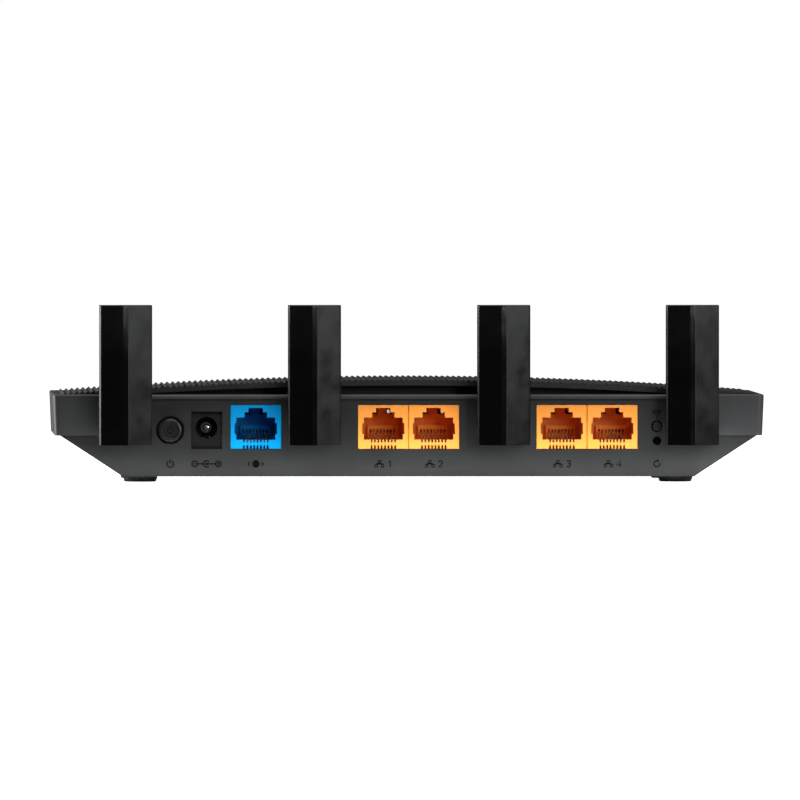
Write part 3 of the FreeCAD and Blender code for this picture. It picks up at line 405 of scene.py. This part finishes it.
def panel_symbols():
    """Dark printed symbols in a row under the openings of the port panel."""
    right, up, out = Vector((1, 0, 0)), Vector((0, 0, 1)), Vector((0, -1, 0))

    def put(name, x, z, strokes, width=0.36):
        origin = Vector((x, PANEL_Y, z))
        print_symbols(name, strokes, origin, right, up, out, width, PRINT_H, INK, "housing")

    cap = middle("power_button_cap")
    put("symbol_power", cap.x, PANEL_ROW_Z, power_symbol())
    face = Vector((cap.x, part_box("power_button_cap")[0].y + BUTTON_DISH, cap.z))
    mark = shifted(power_symbol(), 0, 0, 0.9)
    print_symbols(
        "button_mark", mark, face, right, up, out, 0.22, PRINT_H, INK, "power_button"
    )  # fmt: skip
    put("symbol_polarity", middle("dc_jack_housing").x, PANEL_ROW_Z, polarity_symbol())
    put("symbol_internet", middle("wan_jack_housing").x, PANEL_ROW_Z, globe_symbol() + chevrons(2.3))
    number = 0
    for jack in ("lan_jack_left_housing", "lan_jack_right_housing"):
        low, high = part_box(jack)
        for share in (0.25, 0.75):
            number += 1
            x = low.x + share * (high.x - low.x)
            strokes = shifted(network_symbol(), -1.2, 0) + shifted(numeral(number), 2.0, 0)
            put(f"symbol_lan_{number}", x, PANEL_ROW_Z, strokes)
    small = middle("wps_button_cap")
    put("symbol_reset", small.x, PANEL_ROW_Z, reset_symbol())
    put("symbol_wireless", small.x, small.z + 2.7 * MM, wireless_symbol(), 0.3)


def front_symbols():
    """Pale symbols over the indicator windows in the front wall."""
    right, up, out = Vector((-1, 0, 0)), Vector((0, 0, 1)), Vector((0, 1, 0))
    low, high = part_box("upper_housing")
    y = high.y - FRONT_DRAFT * (high.z - FRONT_ROW_Z) / (high.z - low.z)
    symbols = (
        power_symbol(), wireless_symbol(), globe_symbol(),
        network_symbol(), numeral(2), reset_symbol(),
    )  # fmt: skip
    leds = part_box("status_leds")
    pitch = (leds[1].x - leds[0].x - LED_WIDTH) / (len(symbols) - 1)
    first = leds[1].x - LED_WIDTH / 2
    for i, strokes in enumerate(symbols):
        origin = Vector((first - i * pitch, y, FRONT_ROW_Z))
        small = shifted(strokes, 0, 0, 0.8)
        name = f"front_symbol_{i + 1}"
        print_symbols(name, small, origin, right, up, out, 0.18, 0.02, PALE_INK, "housing")


def label_frame():
    """Thin ruled frame and rows on the rating label, with nothing written in them."""
    low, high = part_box("rating_label")
    right, up, out = Vector((1, 0, 0)), Vector((0, -1, 0)), Vector((0, 0, -1))
    w, d = (high.x - low.x) / MM / 2 - 2, (high.y - low.y) / MM / 2 - 2
    strokes = [([(-w, -d), (w, -d), (w, d), (-w, d)], True)]
    strokes += [line((-w, d * k), (w, d * k)) for k in (-0.4, 0.2)]
    strokes += [line((w * 0.45, -d), (w * 0.45, d))]
    origin = Vector(((low.x + high.x) / 2, (low.y + high.y) / 2, low.z))
    print_symbols(
        "label_frame", strokes, origin, right, up, out, 0.3, 0.01, LABEL_INK, "housing"
    )  # fmt: skip


# ---- small parts on the main board --------------------------------------------------------------------
BOARD_NODES = (
    "soc_chip", "heat_sink", "shield_cans", "memory_chips", "line_transformers", "capacitors",
    "power_inductors", "status_leds", "light_guide", "wan_jack_housing", "lan_jack_left_housing",
    "lan_jack_right_housing", "dc_jack_housing", "power_switch_body", "wps_switch_body",
    "reset_switch_body", "board_screws", "coax_plugs",
)  # fmt: skip


def add_block(vertices, faces, low, high):
    """Adds a box from low to high to a mesh's lists."""
    start = len(vertices)
    for x in (low.x, high.x):
        for y in (low.y, high.y):
            vertices += [Vector((x, y, low.z)), Vector((x, y, high.z))]
    for a, b, c, d in ((0, 1, 3, 2), (4, 6, 7, 5), (0, 4, 5, 1), (2, 3, 7, 6), (0, 2, 6, 4), (1, 5, 7, 3)):
        faces.append((start + a, start + b, start + c, start + d))


def solid_islands(node):
    """The bounds of each separate solid of a node, as (low, high) pairs."""
    mesh = nodes[node].data
    parent = list(range(len(mesh.vertices)))

    def root(i):
        while parent[i] != i:
            parent[i] = parent[parent[i]]
            i = parent[i]
        return i

    for edge in mesh.edges:
        parent[root(edge.vertices[0])] = root(edge.vertices[1])
    bounds = {}
    for vertex in mesh.vertices:
        place = nodes[node].matrix_world @ vertex.co
        low, high = bounds.setdefault(root(vertex.index), (place.copy(), place.copy()))
        for k in range(3):
            low[k] = min(low[k], place[k])
            high[k] = max(high[k], place[k])
    return list(bounds.values())


CHIP_HALF_L, CHIP_HALF_W = 0.8 * MM, 0.42 * MM
CHIP_HEIGHTS = (0.35 * MM, 0.5 * MM, 0.8 * MM)
BODY_L, BODY_W = 0.7, 0.96  # a chip body's shares of the chip's half sizes
END_L, END_H = 0.2, 1.03  # a soldered end's shares of the chip's half length and of the body's height
CHIP_TRIES = 170
CHIP_GRID = 1.5 * MM
CHIP_GAP = 1.2 * MM  # free space kept round every part
CRYSTAL_HALF_L, CRYSTAL_HALF_W, CRYSTAL_H = 2.5 * MM, 1.6 * MM, 0.8 * MM
CRYSTALS = ((-0.033, 0.034), (0.031, 0.0))


class Parts:
    """Blocks of one kind, gathered into one mesh."""

    def __init__(self):
        self.vertices, self.faces = [], []

    def put(self, x, y, half_x, half_y, base, top):
        low, high = Vector((x - half_x, y - half_y, base)), Vector((x + half_x, y + half_y, top))
        add_block(self.vertices, self.faces, low, high)

    def build(self, name, material, slot):
        mesh = bpy.data.meshes.new(name)
        mesh.from_pydata(self.vertices, [], self.faces)
        mesh.materials.append(material)
        piece = bpy.data.objects.new(name, mesh)
        bpy.context.scene.collection.objects.link(piece)
        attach(piece, "housing")


def put_chip(bodies, ends, x, y, along_x, top, tall):
    """A chip resistor or capacitor: a dark body between two soldered ends."""
    body = (CHIP_HALF_L * BODY_L, CHIP_HALF_W * BODY_W)
    end = (CHIP_HALF_L * END_L, CHIP_HALF_W)
    shift = (CHIP_HALF_L * (1 - END_L), 0)
    if not along_x:
        body, end, shift = body[::-1], end[::-1], shift[::-1]
    bodies.put(x, y, *body, top, top + tall)
    for side in (-1, 1):
        ends.put(x + side * shift[0], y + side * shift[1], *end, top, top + tall * END_H)


def small_parts():
    """Chip resistors and capacitors in the free places of the board, and two crystals where their places are
    free.
    """
    taken = [bounds for node in BOARD_NODES for bounds in solid_islands(node)]
    low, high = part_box("main_board")
    top = high.z
    picks = random.Random(SEED)
    bodies, ends, cans = Parts(), Parts(), Parts()

    def is_free(x, y, half_x, half_y):
        w, d = half_x + CHIP_GAP, half_y + CHIP_GAP
        if not (low.x + w < x < high.x - w and low.y + d < y < high.y - d):
            return False
        return all(x + w < a.x or x - w > b.x or y + d < a.y or y - d > b.y for a, b in taken)

    def take(x, y, half_x, half_y):
        corner = Vector((half_x, half_y, 0))
        taken.append((Vector((x, y, top)) - corner, Vector((x, y, top)) + corner))

    for x, y in CRYSTALS:
        if is_free(x, y, CRYSTAL_HALF_L, CRYSTAL_HALF_W):
            cans.put(x, y, CRYSTAL_HALF_L, CRYSTAL_HALF_W, top, top + CRYSTAL_H)
            take(x, y, CRYSTAL_HALF_L, CRYSTAL_HALF_W)
    for _ in range(CHIP_TRIES):
        x, y = picks.uniform(low.x, high.x), picks.uniform(low.y, high.y)
        x, y = round(x / CHIP_GRID) * CHIP_GRID, round(y / CHIP_GRID) * CHIP_GRID
        along_x = picks.random() < 0.5
        tall = picks.choice(CHIP_HEIGHTS)
        half_x, half_y = (CHIP_HALF_L, CHIP_HALF_W) if along_x else (CHIP_HALF_W, CHIP_HALF_L)
        if is_free(x, y, half_x, half_y):
            take(x, y, half_x, half_y)
            put_chip(bodies, ends, x, y, along_x, top, tall)
    bodies.build("chip_part_bodies", MATERIALS["ferrite"], "chip_plastic")
    ends.build("chip_part_ends", MATERIALS["tinplate"], "tinplate")
    cans.build("crystals", MATERIALS["nickel"], "nickel")


# ---- studio -------------------------------------------------------------------------------------------
CAMERA_DISTANCE = 7.0
VIEW_WIDTH = 0.2419
AZIMUTH, ELEVATION = math.radians(-1.5), math.radians(0.75)
AIM = Vector((-0.0026, PANEL_Y, 0.0248))


def camera():
    data = bpy.data.cameras.new("camera")
    data.sensor_width = 36.0
    data.lens = data.sensor_width * CAMERA_DISTANCE / VIEW_WIDTH
    data.clip_start, data.clip_end = 0.5, 30.0
    made = bpy.data.objects.new("camera", data)
    bpy.context.scene.collection.objects.link(made)
    back = Vector((
        math.sin(AZIMUTH) * math.cos(ELEVATION),
        -math.cos(AZIMUTH) * math.cos(ELEVATION),
        math.sin(ELEVATION),
    ))  # fmt: skip
    made.location = AIM + back * CAMERA_DISTANCE
    made.rotation_mode = "QUATERNION"
    made.rotation_quaternion = (-back).to_track_quat("-Z", "Y")
    bpy.context.scene.camera = made


def floor():
    """A large white sheet that the router stands on.

    It shines by itself and is hidden from reflections and from bounced light.
    """
    half = 6.0
    mesh = bpy.data.meshes.new("floor")
    corners = [(-half, -half, 0), (half, -half, 0), (half, half, 0), (-half, half, 0)]
    mesh.from_pydata(corners, [], [(0, 1, 2, 3)])
    made = bpy.data.objects.new("floor", mesh)
    bpy.context.scene.collection.objects.link(made)
    made.visible_glossy = False
    made.visible_diffuse = False
    s = Shader("floor_paper")
    paper = s.ramp(s.noise(0.4, 2), [(0.3, colour(0.93, 0.93, 0.93)), (0.7, colour(0.95, 0.95, 0.95))])
    s.link(paper, "Base Color")
    s.set(Roughness=0.9, Emission_Color=colour(1, 1, 1), Emission_Strength=1.0)
    mesh.materials.append(s.material)


def area_light(name, place, target, size, power, spread=180.0, tint=(1, 1, 1)):
    """A rectangular lamp at place that shines at target: metres, watts, and degrees of spread."""
    data = bpy.data.lights.new(name, "AREA")
    data.shape = "RECTANGLE"
    data.size, data.size_y = size
    data.energy = power
    data.spread = math.radians(spread)
    data.color = tint
    made = bpy.data.objects.new(name, data)
    bpy.context.scene.collection.objects.link(made)
    made.location = place
    made.rotation_mode = "QUATERNION"
    made.rotation_quaternion = (Vector(target) - Vector(place)).to_track_quat("-Z", "Y")
    made.visible_camera = False
    return made


def lights():
    """Soft boxes above, beside and in front, a strip before the antennas' tips, and glows on the floor.

    The glows shine upwards just over the floor sheet, in place of the light it would throw on the panel.
    """
    area_light("top_box", (0.0, -0.25, 1.1), (0, 0, 0), (1.6, 1.0), 14.0)
    area_light("right_box", (0.50, -0.62, 0.22), (0, -0.05, 0.03), (0.28, 0.28), 2.3, tint=(0.97, 1.0, 0.98))
    area_light("left_box", (-0.60, 0.15, 0.15), (-HALF_W, PANEL_Y, 0.02), (0.6, 0.3), 8.0)
    area_light("front_box", (0.10, -1.40, 0.60), (0, PANEL_Y, 0.02), (0.4, 0.3), 1.0)
    area_light("glint_box", (0.45, -1.10, 0.20), (0, ANTENNA_Y, 0.04), (0.10, 0.40), 1.6)
    area_light("right_rim", (0.70, -0.17, 0.10), (0.08, PANEL_Y, 0.03), (0.20, 0.30), 0.6)
    reach = 0.06
    place, target = (0, ANTENNA_Y - reach, ANTENNA_TOP + 0.011), (0, ANTENNA_Y, ANTENNA_TOP - 0.004)
    area_light("tip_strip", place, target, (0.26, 0.003), 0.008, 24.0)
    width = 0.009
    y = PANEL_Y - 0.002 - width / 2
    glow = area_light("desk_glow", (0, y, 0.0006), (0, y, 1), (2 * HALF_W, width), 0.076)
    glow.visible_glossy = False
    x = HALF_W * 0.98
    glow = area_light("desk_glow_right", (x, y, 0.0008), (x, y, 1), (0.034, width), 0.009)
    glow.visible_glossy = False


def world():
    """White behind the router as the camera sees it, and a weak fill light for everything else."""
    made = bpy.data.worlds.new("world")
    bpy.context.scene.world = made
    made.use_nodes = True
    tree = made.node_tree
    tree.nodes.clear()
    seen = tree.nodes.new("ShaderNodeBackground")
    seen.inputs["Color"].default_value = (1, 1, 1, 1)
    seen.inputs["Strength"].default_value = 1.0
    lit = tree.nodes.new("ShaderNodeBackground")
    lit.inputs["Color"].default_value = (1, 1, 1, 1)
    lit.inputs["Strength"].default_value = 0.04
    path = tree.nodes.new("ShaderNodeLightPath")
    mix = tree.nodes.new("ShaderNodeMixShader")
    out = tree.nodes.new("ShaderNodeOutputWorld")
    tree.links.new(path.outputs["Is Camera Ray"], mix.inputs[0])
    tree.links.new(lit.outputs[0], mix.inputs[1])
    tree.links.new(seen.outputs[0], mix.inputs[2])
    tree.links.new(mix.outputs[0], out.inputs["Surface"])
    bpy.context.scene.view_settings.view_transform = "Standard"


camera()
floor()
lights()
world()
paint_nodes()
panel_symbols()
front_symbols()
label_frame()
small_parts()
